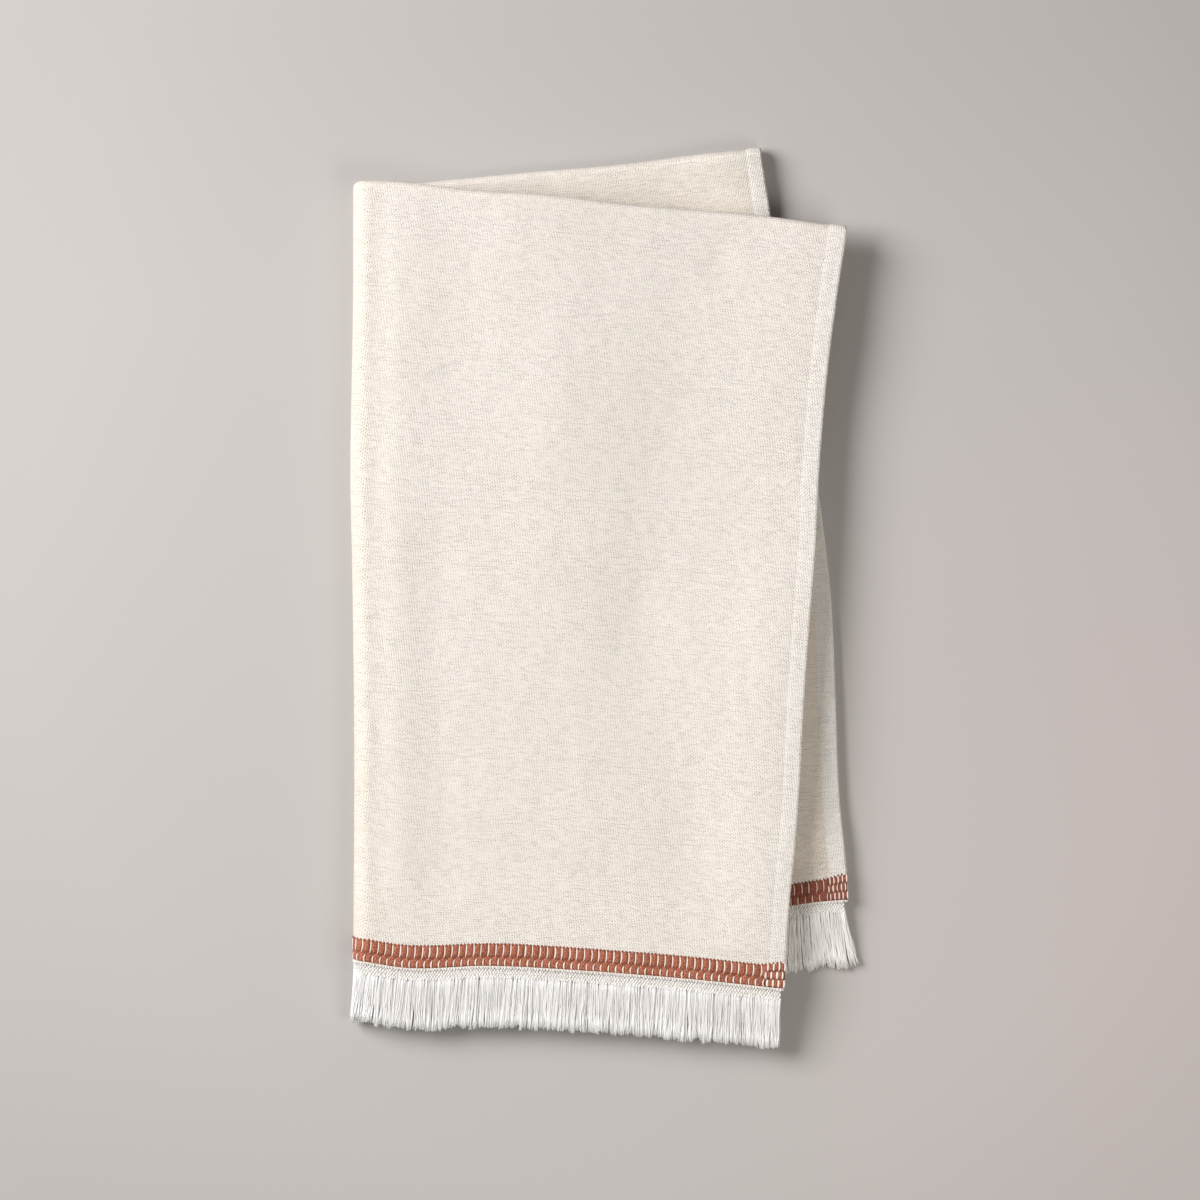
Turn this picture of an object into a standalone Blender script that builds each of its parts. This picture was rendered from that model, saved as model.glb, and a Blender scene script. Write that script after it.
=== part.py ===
"""A hand towel, folded in half across its length and then lengthwise, lying on a floor.

It is one woven panel with a two-row border woven across each end, and a fringe on a narrow header
beyond each end. The crosswise fold is the top edge (+Y) and the lengthwise fold is the left edge
(-X), so the towel lies four layers thick. The outer end shows on the front stack, and the inner end
shows on the back stack, which looks out at the lower right.

Metres, +Z up. The origin is at the middle of the footprint, on the floor.
"""

import math

import bmesh
import bpy
import numpy as np

MM = 0.001
QUARTER = math.pi / 2

# The cloth
TOWEL_WIDTH = 406 * MM
HALF_LENGTH = 344 * MM  # from the crosswise fold to an end, as woven
CLOTH = 2.0 * MM
HEM_WIDTH = 7.4 * MM
HEM_RELIEF = 0.4 * MM
RIB_RELIEF = 0.8 * MM

# The folds. A stack is two layers, and LAYER_GAP is from its middle to a layer's middle.
LAYER_GAP = 1.6 * MM
TOP_RADIUS = 2.3 * MM
TOP_PUFF_LENGTH = 18 * MM
END_PUFF = 0.5 * MM
END_PUFF_LENGTH = 25 * MM
SIDE_RADIUS = 4.6 * MM
RISE_LENGTH = 14 * MM  # from that fold to where the ridges and troughs have their full height
SKEW = math.radians(5.4)  # of the lengthwise fold to the cloth's side edges
FOLD_OFF_MIDDLE = -19.7 * MM  # where that fold starts, at the top

# How much of HALF_LENGTH the cloth has at the back's side edge, at the fold and at the front's
# side edge: the crosswise fold is a little nearer the inner end, and slightly bowed.
SHARES = (-1, 0, 1)
OUTER_REACH = (0.990, 1.0, 1.0)
INNER_REACH = (1.0, 0.948, 0.977)

# The fringes
HEADER_GAP = 0.3 * MM
HEADER = 4.0 * MM
HEADER_THICKNESS = 1.6 * MM
STRANDS = 120
OUTER_STRAND_LENGTH = 22.5 * MM
INNER_STRAND_LENGTH = 25.5 * MM
STRAND_THICKNESS = 1.1 * MM
STRAND_WIDTH = 0.72  # of the pitch, at the root
STRAND_TAPER = [(0.5, 0.9), (1.0, 0.55)]  # share of the length, share of the width
# How much of its height a strand loses by its tip
BACK_DROOP = 0.55
FRONT_DROOP = 0.3
SWAY = 0.4 * MM
SWAY_WAVE = 11 * MM
SIDE_FAN = 6.6 * MM  # how far the back's last strand leans out, by its tip
FAN_POWER = 1.3
FOLD_FLARE = 1.3 * MM
FAN_WIDTH = 14 * MM

# Outlines in millimetres, from the top left corner: x to the right, y down.
TOP_LEFT = (-0.11214, 0.18583)
FRONT = {
    # x, y
    "top": [(0, 0), (10, 0), (61, 4.9), (84, 6.2), (118.5, 10.2), (185, 16.0), (219.4, 20.9)],
    # y, x
    "side": [
        (21, 219.4),
        (55, 214.2),
        (86, 210.4),
        (133, 206.6),
        (164, 205.2),
        (186, 203.4),
        (230, 200.2),
        (275, 197.7),
        (297, 196.0),
        (319, 193.8),
        (359.4, 191.2),
    ],
    # x, y
    "bottom": [(0, 346.5), (21, 350), (61, 349.3), (105, 351.6), (146, 354.8), (191.2, 359.4)],
}
BACK = {
    "top": [(0, 0), (25, 0.6), (47.5, -1.4), (79, -4.4), (118, -7.7), (158.5, -12.8), (180.7, -14.7)],
    "side": [
        (-14.7, 180.7),
        (13, 185.1),
        (80, 197.0),
        (150.5, 208.5),
        (186, 212.4),
        (230, 214.4),
        (275, 216.3),
        (303, 219.0),
        (320.3, 220.0),
    ],
    "bottom": [(0, 346.5), (194, 325.2), (207, 322.3), (220, 320.3)],
}
# How far the lengthwise fold bows to the left: y, bow
SIDE_BOW = [(0, 0), (53, 0.1), (97, 0.85), (130, 1.3), (164, 0.65), (190, 0.2), (250, -0.4), (346, 0)]
# How high the front's side edge stands above the rest of the front: y, lift
EDGE_LIFT_POWER = 2.5
EDGE_LIFT = [
    (21, 3.4),
    (45, 4.6),
    (62, 5.4),
    (76, 4.9),
    (97, 3.2),
    (120, 1.6),
    (240, 1.6),
    (300, 1.2),
    (359, 0.7),
]

# Soft ridges and troughs, in millimetres: from x, y to x, y, half width, height
FRONT_FOLDS = [
    (78, 10, 102, 192, 28, 1.4),
    (164, 14, 132, 190, 30, -1.7),
    (125, 190, 154, 320, 18, -1.0),
    (36, 168, 36, 310, 11, -0.9),
    (163, 34, 163, 42, 6, -0.7),
    (187, 186, 174, 336, 13, 0.9),
    (18, 20, 18, 305, 19, 1.2),
    (211, 140, 190, 300, 28, 2.4),
]
BACK_FOLDS = [
    (86, 4, 84, 12, 7, -0.6),
    (168, -10, 177, 4, 20, 3.6),
    (191, 168, 194, 290, 14, 3.4),
]

# Grid lines of the cloth: millimetres from the crosswise fold, then from the end (place, relief)
ROWS_FROM_FOLD = [0, 6, 16, 34, 56, 80, 104, 128, 152, 176, 200, 224, 248, 272, 296, 314, 326]
BORDER_ROWS = [(11.4, 0.0), (8.6, 1.0), (5.7, 0.1), (3.3, 1.0), (0.9, 0.1), (0.0, 0.0)]
FOLD_STEPS = 4  # to each side of a fold's apex
FRONT_COLUMNS = [0.05, 0.10, 0.18, 0.27, 0.36, 0.45, 0.54, 0.63, 0.72, 0.81, 0.89, 0.945]
BACK_COLUMNS = [0.05, 0.12, 0.22, 0.34, 0.46, 0.58, 0.70, 0.81, 0.90, 0.945]

CREAM = (0.80, 0.72, 0.60, 1)
RUST = (0.42, 0.13, 0.06, 1)
WHITE = (0.86, 0.84, 0.81, 1)


def smooth_step(t):
    t = np.clip(t, 0, 1)
    return t * t * (3 - 2 * t)


def curve(rows, place):
    """A smooth curve through rows of (place, value) in millimetres, level past its ends."""
    places, values = np.array(rows, float).T * MM
    slopes = np.gradient(values, places)
    place = np.clip(place, places[0], places[-1])
    i = np.clip(np.searchsorted(places, place) - 1, 0, len(places) - 2)
    span = places[i + 1] - places[i]
    t = (place - places[i]) / span
    start = values[i] * (1 + 2 * t) + slopes[i] * span * t
    end = values[i + 1] * (3 - 2 * t) - slopes[i + 1] * span * (1 - t)
    return start * (1 - t) ** 2 + end * t**2


def soft_folds(rows, x, y):
    """The height that the ridges and troughs add at a point of a stack."""
    height = np.zeros_like(x)
    for x0, y0, x1, y1, half_width, rise in np.array(rows, float) * MM:
        along_x, along_y = x1 - x0, y1 - y0
        t = ((x - x0) * along_x + (y - y0) * along_y) / (along_x**2 + along_y**2)
        t = np.clip(t, 0, 1)
        off = np.hypot(x - x0 - t * along_x, y - y0 - t * along_y)
        height += rise * np.exp(-((off / half_width) ** 2))
    return height


def layer_gap(down):
    """From a stack's middle to a layer's middle: more at the crosswise fold and at the border."""
    top = (TOP_RADIUS - LAYER_GAP) * np.exp(-np.maximum(down, 0) / TOP_PUFF_LENGTH)
    end = END_PUFF * smooth_step((down - HALF_LENGTH + 2 * END_PUFF_LENGTH) / END_PUFF_LENGTH)
    return LAYER_GAP + top + end


def on_stack(outline, share, down):
    """A stack's point, in its plane: the side edge's x at that height, and the point's y."""
    (_, top_width), (_, end_width) = outline["side"][0], outline["side"][-1]
    inset = TOP_RADIUS + CLOTH / 2
    top = curve(outline["top"], share * top_width * MM) + inset
    end = curve(outline["bottom"], share * end_width * MM)
    g = np.clip(down / HALF_LENGTH, 0, 1)
    y = top + g * (end - top) + np.minimum(down, 0) + np.maximum(down - HALF_LENGTH, 0)
    edge_top = outline["top"][-1][1] * MM + inset
    edge_end = outline["bottom"][-1][1] * MM
    side = curve(outline["side"], edge_top + g * (edge_end - edge_top))
    return side, y


def on_towel(share, along, thickness):
    """Points of the cloth's middle surface, in world space.

    share runs from -1, the back's side edge, over 0, the lengthwise fold, to 1, the front's side
    edge. along is the way from the crosswise fold's apex, + to the outer end, - to the inner one.
    """
    turn = np.clip(along / TOP_RADIUS, -QUARTER, QUARTER)
    past = np.maximum(np.abs(along) - QUARTER * TOP_RADIUS, 0)
    outer_reach = np.interp(share, SHARES, OUTER_REACH)
    reach = np.where(along > 0, outer_reach, np.interp(share, SHARES, INNER_REACH))
    beyond = np.maximum(past - HALF_LENGTH, 0)
    down = (past - beyond) * reach + beyond - TOP_RADIUS * np.cos(turn)

    gap = layer_gap(down)
    centre = SIDE_RADIUS + gap + CLOTH / 2
    front = share > 0
    side_front, y_front = on_stack(FRONT, np.maximum(share, 0), down)
    side_back, y_back = on_stack(BACK, np.maximum(-share, 0), down)
    side = np.where(front, side_front, side_back)
    y = np.where(front, y_front, y_back)

    path = share * (side - centre + QUARTER * SIDE_RADIUS)
    roll = np.clip(path / SIDE_RADIUS, -QUARTER, QUARTER)
    flat = np.abs(path - roll * SIDE_RADIUS)
    radius = SIDE_RADIUS + np.sin(turn) * gap
    x = centre - radius * np.cos(roll) + flat
    z = centre + radius * np.sin(roll)

    lift = curve(EDGE_LIFT, y) * np.abs(share) ** EDGE_LIFT_POWER
    rise_front = soft_folds(FRONT_FOLDS, x, y) + lift
    inner = (1 - np.sin(turn)) / 2
    rise_back = soft_folds(BACK_FOLDS, x, y) * inner
    z += np.where(front, rise_front, rise_back) * smooth_step(flat / RISE_LENGTH)
    z += (thickness - CLOTH) / 2 * np.maximum(-np.sin(roll), 0) * (1 - inner)
    x -= curve(SIDE_BOW, y) * (1 - np.abs(share)) ** 2
    return np.stack([TOP_LEFT[0] + x, TOP_LEFT[1] - y, z], axis=-1)


def share_at(across, down):
    """The share of a point of the flat cloth: across is from its middle line, + to the front."""
    way = (across - FOLD_OFF_MIDDLE) * math.cos(SKEW) - down * math.sin(SKEW)
    front = (TOWEL_WIDTH / 2 - FOLD_OFF_MIDDLE) * math.cos(SKEW) - down * math.sin(SKEW)
    back = (TOWEL_WIDTH / 2 + FOLD_OFF_MIDDLE) * math.cos(SKEW) + down * math.sin(SKEW)
    return np.clip(way / np.where(way > 0, front, back), -1, 1)


def cloth_columns():
    """Rows of (share, relief): close together around the lengthwise fold, and a hem at each side."""
    stack_width = TOWEL_WIDTH / 2
    fold = [QUARTER * SIDE_RADIUS / stack_width * (i + 1) / FOLD_STEPS for i in range(FOLD_STEPS)]
    hem = 1 - HEM_WIDTH / stack_width
    hem_rows = [(hem - 0.008, -0.3), (hem + 0.008, 1.0), (0.993, 1.0), (1.0, 0.2)]
    front = [(share, 0.0) for share in fold + FRONT_COLUMNS] + hem_rows
    back = [(share, 0.0) for share in fold + BACK_COLUMNS] + hem_rows
    return [(-share, relief) for share, relief in back[::-1]] + [(0.0, 0.0)] + front


def cloth_rows():
    """Rows of (along, relief) from the inner end, over the crosswise fold, to the outer end."""
    turn = QUARTER * TOP_RADIUS
    half = [(turn * i / FOLD_STEPS, 0.0) for i in range(1, FOLD_STEPS)]
    half += [(turn + place * MM, 0.0) for place in ROWS_FROM_FOLD]
    half += [(turn + HALF_LENGTH - place * MM, relief) for place, relief in BORDER_ROWS]
    return [(-along, relief) for along, relief in half[::-1]] + [(0.0, 0.0)] + half


def material(name, colour, roughness):
    made = bpy.data.materials.new(name)
    made.use_nodes = True
    shader = made.node_tree.nodes["Principled BSDF"]
    shader.inputs["Base Color"].default_value = colour
    shader.inputs["Roughness"].default_value = roughness
    shader.inputs["Metallic"].default_value = 0.0
    return made


def solid(name, bm, points, thicknesses, materials):
    """Moves the flat pattern's points to their places and gives the sheet its thickness."""
    for vert, point in zip(bm.verts, points):
        vert.co = point
    mesh = bpy.data.meshes.new(name)
    bm.to_mesh(mesh)
    bm.free()
    mesh.shade_smooth()
    for entry in materials:
        mesh.materials.append(entry)
    made = bpy.data.objects.new(name, mesh)
    group = made.vertex_groups.new(name="thickness")
    thickest = float(max(thicknesses))
    for index, thickness in enumerate(thicknesses):
        group.add([index], float(thickness) / thickest, "REPLACE")
    solidify = made.modifiers.new("Thickness", "SOLIDIFY")
    solidify.thickness = thickest
    solidify.offset = 0
    solidify.vertex_group = group.name
    solidify.use_quality_normals = True
    return made


def make_towel(materials):
    """The panel, as one sheet: a grid along the cloth, bent over both folds."""
    columns = cloth_columns()
    rows = cloth_rows()
    bm = bmesh.new()
    bmesh.ops.create_grid(bm, x_segments=len(columns) - 1, y_segments=len(rows) - 1, size=1)
    bm.verts.ensure_lookup_table()
    column_of = [round((v.co.x + 1) / 2 * (len(columns) - 1)) for v in bm.verts]
    row_of = [round((v.co.y + 1) / 2 * (len(rows) - 1)) for v in bm.verts]
    share, hem_relief = np.array(columns)[column_of].T
    along, rib_relief = np.array(rows)[row_of].T
    thickness = CLOTH + np.where(rib_relief > 0, rib_relief * RIB_RELIEF, hem_relief * HEM_RELIEF)
    border_start = QUARTER * TOP_RADIUS + HALF_LENGTH - BORDER_ROWS[0][0] * MM
    for face in bm.faces:
        middle = np.mean([abs(along[v.index]) for v in face.verts])
        face.material_index = int(middle > border_start)
    points = on_towel(share, along, thickness)
    return solid("towel", bm, points, thickness, materials)


def comb(strand_length, draw):
    """The fringe's flat pattern: points of (across, beyond the cloth's end, sway to the side)."""
    pitch = TOWEL_WIDTH / STRANDS
    width = STRAND_WIDTH * pitch
    header_end = HEADER_GAP + HEADER
    steps = 2 * STRANDS + 1
    bm = bmesh.new()
    bmesh.ops.create_grid(bm, x_segments=steps, y_segments=1, size=1)
    for vert in bm.verts:
        strand, side = divmod(round((vert.co.x + 1) / 2 * steps) - 1, 2)
        across = strand * pitch + (pitch - width) / 2 + side * width - TOWEL_WIDTH / 2
        across = min(max(across, -TOWEL_WIDTH / 2), TOWEL_WIDTH / 2)
        vert.co = (across, HEADER_GAP if vert.co.y > 0 else header_end, 0)
    lower = [e for e in bm.edges if min(v.co.y for v in e.verts) > HEADER_GAP + HEADER / 2]
    lower.sort(key=lambda e: e.verts[0].co.x + e.verts[1].co.x)
    for edge in lower[1::2]:
        middle = (edge.verts[0].co.x + edge.verts[1].co.x) / 2
        sway = SWAY * (math.sin(middle / SWAY_WAVE) + draw.uniform(-0.4, 0.4))
        length = strand_length * draw.uniform(0.93, 1.04)
        for share, taper in STRAND_TAPER:
            drawn = bmesh.ops.extrude_edge_only(bm, edges=[edge])["geom"]
            edges = [piece for piece in drawn if isinstance(piece, bmesh.types.BMEdge)]
            edge = next(e for e in edges if e.verts[0] in drawn and e.verts[1] in drawn)
            for vert in edge.verts:
                half = math.copysign(width / 2 * taper, vert.co.x - middle)
                vert.co = (middle + half, header_end + length * share, sway * share**2)
    return bm


def make_fringe(name, end, strand_length, seed, entry):
    """The comb, bent round the fold with the cloth's end: + for the outer end, - for the inner."""
    bm = comb(strand_length, np.random.default_rng(seed))
    across, beyond, sway = np.array([v.co for v in bm.verts]).T
    on_header = beyond < HEADER_GAP + HEADER + 0.1 * MM
    thickness = np.where(on_header, HEADER_THICKNESS, STRAND_THICKNESS)
    share = share_at(across, HALF_LENGTH)
    along = end * (QUARTER * TOP_RADIUS + HALF_LENGTH + beyond)

    # Straight between the cloth's own columns, so that the header follows the cloth's edge.
    columns = np.array([column for column, _ in cloth_columns()])
    i = np.clip(np.searchsorted(columns, share) - 1, 0, len(columns) - 2)
    t = ((share - columns[i]) / (columns[i + 1] - columns[i]))[:, None]
    points = on_towel(columns[i], along, thickness) * (1 - t)
    points += on_towel(columns[i + 1], along, thickness) * t

    free = np.clip((beyond - HEADER_GAP - HEADER) / strand_length, 0, 1.1)
    side_fan = SIDE_FAN * np.exp(-(1 + share) * TOWEL_WIDTH / 2 / FAN_WIDTH) * free**FAN_POWER
    fold_flare = FOLD_FLARE * np.exp(-((share * TOWEL_WIDTH / 2 / FAN_WIDTH) ** 2)) * free
    points[:, 0] += sway + side_fan - fold_flare
    on_front = smooth_step(share * TOWEL_WIDTH / 2 / FAN_WIDTH + 1)
    droop = BACK_DROOP + (FRONT_DROOP - BACK_DROOP) * on_front
    floor = STRAND_THICKNESS / 2
    points[:, 2] -= np.maximum(points[:, 2] - floor, 0) * droop * smooth_step(free)
    return solid(name, bm, points, thickness, [entry])


def clear_scene():
    for obj in list(bpy.data.objects):
        bpy.data.objects.remove(obj, do_unlink=True)


def main():
    clear_scene()
    collection = bpy.data.collections.new("hand_towel")
    bpy.context.scene.collection.children.link(collection)
    cream = material("towel_cream", CREAM, 0.95)
    rust = material("towel_border", RUST, 0.85)
    outer_white = material("fringe_outer_white", WHITE, 0.9)
    inner_white = material("fringe_inner_white", WHITE, 0.9)
    collection.objects.link(make_towel([cream, rust]))
    collection.objects.link(make_fringe("fringe_outer", 1, OUTER_STRAND_LENGTH, 3, outer_white))
    collection.objects.link(make_fringe("fringe_inner", -1, INNER_STRAND_LENGTH, 5, inner_white))


main()
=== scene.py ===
"""The look of the folded hand towel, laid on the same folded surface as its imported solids.

The sizes and the folds are repeated from the part, in metres. Every piece is made as arrays of
points in the flat towel's own places: share or across its width, and along its length.
"""

import math

import bpy
import numpy as np
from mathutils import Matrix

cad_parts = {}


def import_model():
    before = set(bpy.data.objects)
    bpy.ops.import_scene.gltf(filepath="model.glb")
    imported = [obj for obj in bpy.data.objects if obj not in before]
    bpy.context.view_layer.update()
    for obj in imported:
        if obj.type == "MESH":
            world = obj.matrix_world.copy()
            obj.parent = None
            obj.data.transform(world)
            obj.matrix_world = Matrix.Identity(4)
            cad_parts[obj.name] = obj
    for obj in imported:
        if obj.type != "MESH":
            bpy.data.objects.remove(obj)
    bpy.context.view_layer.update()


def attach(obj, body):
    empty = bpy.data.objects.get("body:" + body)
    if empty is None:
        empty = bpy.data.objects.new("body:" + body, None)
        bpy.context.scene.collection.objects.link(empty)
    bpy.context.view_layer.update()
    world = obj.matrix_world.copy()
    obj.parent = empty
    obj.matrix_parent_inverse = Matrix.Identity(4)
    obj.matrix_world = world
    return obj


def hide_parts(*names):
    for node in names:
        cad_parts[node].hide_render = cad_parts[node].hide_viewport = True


MM = 0.001
QUARTER = math.pi / 2

# The cloth and its folds, as in the part
TOWEL_WIDTH = 406 * MM
HALF_LENGTH = 344 * MM
CLOTH = 2.0 * MM
LAYER_GAP = 1.6 * MM
TOP_RADIUS = 2.3 * MM
TOP_PUFF_LENGTH = 18 * MM
END_PUFF = 0.5 * MM
END_PUFF_LENGTH = 25 * MM
SIDE_RADIUS = 4.6 * MM
RISE_LENGTH = 14 * MM
SKEW = math.radians(5.4)
FOLD_OFF_MIDDLE = -19.7 * MM
SHARES = (-1, 0, 1)
OUTER_REACH = (0.990, 1.0, 1.0)
INNER_REACH = (1.0, 0.948, 0.977)
HEADER_GAP = 0.3 * MM
HEADER = 4.0 * MM
# The yarns are a little shorter than the part's locks, because some reach past their clump.
STRAND_LENGTHS = {1: 21.8 * MM, -1: 24.4 * MM}
# How much of its height a strand loses by its tip
BACK_DROOP = 0.55
FRONT_DROOP = 0.3
SIDE_FAN = 6.2 * MM  # how far the back's outermost yarns lean out
FAN_POWER = 1.3
FOLD_FLARE = 1.9 * MM  # and those round the lengthwise fold
FAN_WIDTH = 14 * MM
END = QUARTER * TOP_RADIUS + HALF_LENGTH  # from the crosswise fold's apex to an end

# Outlines in millimetres, from the top left corner: x to the right, y down.
TOP_LEFT = (-0.11214, 0.18583)
FRONT = {
    # x, y
    "top": [(0, 0), (10, 0), (61, 4.9), (84, 6.2), (118.5, 10.2), (185, 16.0), (219.4, 20.9)],
    # y, x
    "side": [
        (21, 219.4),
        (55, 214.2),
        (86, 210.4),
        (133, 206.6),
        (164, 205.2),
        (186, 203.4),
        (230, 200.2),
        (275, 197.7),
        (297, 196.0),
        (319, 193.8),
        (359.4, 191.2),
    ],
    # x, y
    "bottom": [(0, 346.5), (21, 350), (61, 349.3), (105, 351.6), (146, 354.8), (191.2, 359.4)],
}
BACK = {
    "top": [(0, 0), (25, 0.6), (47.5, -1.4), (79, -4.4), (118, -7.7), (158.5, -12.8), (180.7, -14.7)],
    "side": [
        (-14.7, 180.7),
        (13, 185.1),
        (80, 197.0),
        (150.5, 208.5),
        (186, 212.4),
        (230, 214.4),
        (275, 216.3),
        (303, 219.0),
        (320.3, 220.0),
    ],
    "bottom": [(0, 346.5), (194, 325.2), (207, 322.3), (220, 320.3)],
}
SIDE_BOW = [(0, 0), (53, 0.1), (97, 0.85), (130, 1.3), (164, 0.65), (190, 0.2), (250, -0.4), (346, 0)]
EDGE_LIFT_POWER = 2.5
EDGE_LIFT = [
    (21, 3.4),
    (45, 4.6),
    (62, 5.4),
    (76, 4.9),
    (97, 3.2),
    (120, 1.6),
    (240, 1.6),
    (300, 1.2),
    (359, 0.7),
]

# Soft ridges and troughs, in millimetres: from x, y to x, y, half width, height
FRONT_FOLDS = [
    (78, 10, 102, 192, 28, 1.4),
    (164, 14, 132, 190, 30, -1.7),
    (125, 190, 154, 320, 18, -1.0),
    (36, 168, 36, 310, 11, -0.9),
    (163, 34, 163, 42, 6, -0.7),
    (187, 186, 174, 336, 13, 0.9),
    (18, 20, 18, 305, 19, 1.2),
    (211, 140, 190, 300, 28, 2.4),
]
BACK_FOLDS = [
    (86, 4, 84, 12, 7, -0.6),
    (168, -10, 177, 4, 20, 3.6),
    (191, 168, 194, 290, 14, 3.4),
]
# Small unevenness: waves for each metre in x and in y, height in millimetres, phase
RIPPLES = [
    (31.0, 4.0, 0.07, 0.4),
    (-12.0, 38.0, 0.05, 1.9),
    (47.0, 23.0, 0.04, 3.1),
    (19.0, -55.0, 0.04, 5.2),
    (71.0, -9.0, 0.03, 2.2),
]

# The cloth's mesh
CELL = 2.9 * MM
FOLD_STEPS = 7
HEM_WIDTH = 7.4 * MM
HEM_PEAK = 0.6 * MM  # how far the thick hem stands past the crosswise fold
HEM_PEAK_SHARES = (0.955, 0.98)  # where that starts, and where it is in full
# The hem's thickness: millimetres from the side edge, thickness
HEM_PROFILE = [
    (0.0, 0.7),
    (0.25, 1.6),
    (0.8, 2.1),
    (1.6, 2.0),
    (3.0, 2.15),
    (5.0, 2.2),
    (6.4, 2.1),
    (7.0, 1.95),
    (7.4, 1.72),
    (8.0, 1.9),
    (9.2, 2.0),
]
# The end's thickness: millimetres from the end, thickness
END_PROFILE = [
    (0.0, 0.9),
    (0.4, 1.5),
    (1.1, 1.6),
    (2.8, 1.9),
    (5.4, 1.8),
    (8.4, 1.9),
    (10.9, 1.8),
    (11.6, 2.0),
    (13.2, 2.0),
]

# The border: two rows of blocks, with a stitch at each side of a block
BAND = 11.0 * MM  # from the end to its top
BAND_END = 1.1 * MM  # from the end to its foot
BAND_SLOPE = 4 * MM  # above the border, where the cloth comes down to the floor
TALLER = 0.17  # how much taller the border is at the side edges
TALLER_LENGTH = 13 * MM
ROW_LINE = 5.5 * MM  # from the end to the line between the rows
ROW_POINT = 0.28 * MM  # how far the blocks of one row reach into the other
BLOCK_PITCH = 3.2 * MM
BLOCK_GROOVE = 0.14 * MM
BLOCK_HEIGHT = 1.35 * MM  # from the cloth's middle
# Where a block's points are, from side to side and from top to bottom
BLOCK_SIDEWAYS = (-1, -0.9, -0.55, 0, 0.55, 0.9, 1)
BLOCK_DOWN = (-1, -0.93, -0.7, -0.35, 0, 0.35, 0.7, 0.93, 1)
BLOCK_CORNER = 0.12  # how much narrower a block is at its top and bottom
BLOCK_FULLNESS = 0.33  # less is a flatter top with steeper sides
BORDER_THICKNESS = 2.8 * MM
HEM_COLUMNS = {1: 3, -1: 4}
HEM_ROWS = 3
HEM_ROW_SHIFT = 0.35  # share of a column that every other row is moved by
HEM_BLOCK_GROOVE = 0.1 * MM
HEM_STITCH_WIDTH = 0.4  # share of a column
HEM_STITCH_BOW = 0.25 * MM
HEM_STITCH_LIFT = 1.2 * MM
HEM_STITCH_HALF_HEIGHT = 0.34 * MM
STITCH_WIDTHS = {1: 0.68 * MM, -1: 0.5 * MM}
STITCH_HEIGHT = 0.5 * MM
STITCH_LIFT = 1.25 * MM
STITCH_BOW = 0.3 * MM
STITCH_BOW_SPREAD = 0.14 * MM
STITCH_SPREAD = 0.12 * MM
# A stitch's points: the share of its way down a row, and at each its share of the width and
# how deep it dives, in millimetres. One more point is between the rows.
STITCH_ROW = (0, 0.12, 0.35, 0.65, 0.88, 1)
UPPER_WIDTHS = (0.5, 0.9, 1, 1, 0.85, 0.45)
MIDDLE_WIDTH = 0.32
LOWER_WIDTHS = (0.45, 0.85, 1, 1, 0.9, 0.5)
UPPER_DIVES = (0.25, 0.05, 0, 0, 0.05, 0.3)
MIDDLE_DIVE = 0.75
LOWER_DIVES = (0.3, 0.05, 0, 0, 0.05, 0.25)
STITCH_TOP = 0.25 * MM  # from the border's top
STITCH_MIDDLE = 0.6 * MM  # below the line between the rows
STITCH_LOWER = 1.15 * MM
STITCH_FOOT = 0.1 * MM  # from the border's foot
DOT_PITCH = 1.6 * MM
DOT_LENGTH = 0.9 * MM
DOT_SPREAD = 0.12 * MM
DOT_LIFT = 0.95 * MM
DOT_HALF_WIDTH = 0.42 * MM
DOT_HALF_HEIGHT = 0.45 * MM
DOT_TAPER = (0.5, 1, 1, 0.5)

# The header and the fringe's yarns
HEADER_INSET = 1.5 * MM
HEADER_POINTS = 260
STRIP_HALF_HEIGHT = 0.5 * MM
STRIP_TONE = -1.8  # tones under 0 are shaded
NET_PITCH = 1.3 * MM
NET_LINES = 4
NET_LENGTH = 1.25  # share of a line's height
NET_LEAN = 0.5 * MM
NET_SPREAD = 0.2 * MM
NET_TAPER = (0.55, 1, 1, 0.55)
NET_HALF_WIDTH = 0.4 * MM
NET_HALF_HEIGHT = 0.3 * MM
NET_LIFT = 0.56 * MM
END_NET_LIFTS = (0.95, 0.9, 0.8, 0.68)  # in millimetres, down over the cloth's end
YARNS = 3300
YARN_RADIUS = 0.22 * MM
YARN_POINTS = 7
YARN_SIDES = 4
# A yarn's thickness: share of its length, share of its radius
YARN_TAPER = ((0, 0.7, 1), (1, 0.95, 1.15))
YARN_LEAN = 0.5 * MM
YARN_DEPTH = 0.3 * MM  # how far a yarn may lie above or below the cloth's middle
YARN_ROLL = 0.15 * MM
CLUMP_PITCH = 1.9 * MM
CLUMP_GATHER = 0.7  # at most, share of the way to its middle
ROOT_SHADE = {1: 0.5, -1: 0.3}  # how much darker the yarns are at their roots
# Painted highlight: the yarns are lighter at their tips
TIP_HIGHLIGHT = 0.8  # how much lighter at their tips
ROOT_RISE = 0.3 * MM  # the roots lie on the header's stitches
# How the tips lie to one side and the other: wave length and how far in millimetres, phase
TIP_WAVES = [(23.0, 0.6, 0.3), (11.0, 0.4, 2.0), (6.1, 0.25, 4.1), (3.7, 0.2, 1.2)]

# The loops along the side edges
LOOP_PITCH = 1.7 * MM
LOOP_LENGTH = 1.05  # share of the pitch
LOOP_INSET = 0.45 * MM
LOOP_SPREAD = 0.15 * MM
LOOP_BOW = 0.15 * MM
LOOP_HALF_WIDTH = 0.45 * MM
LOOP_HALF_HEIGHT = 0.85 * MM
LOOP_TAPER = (0.45, 0.9, 1, 0.9, 0.45)

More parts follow.
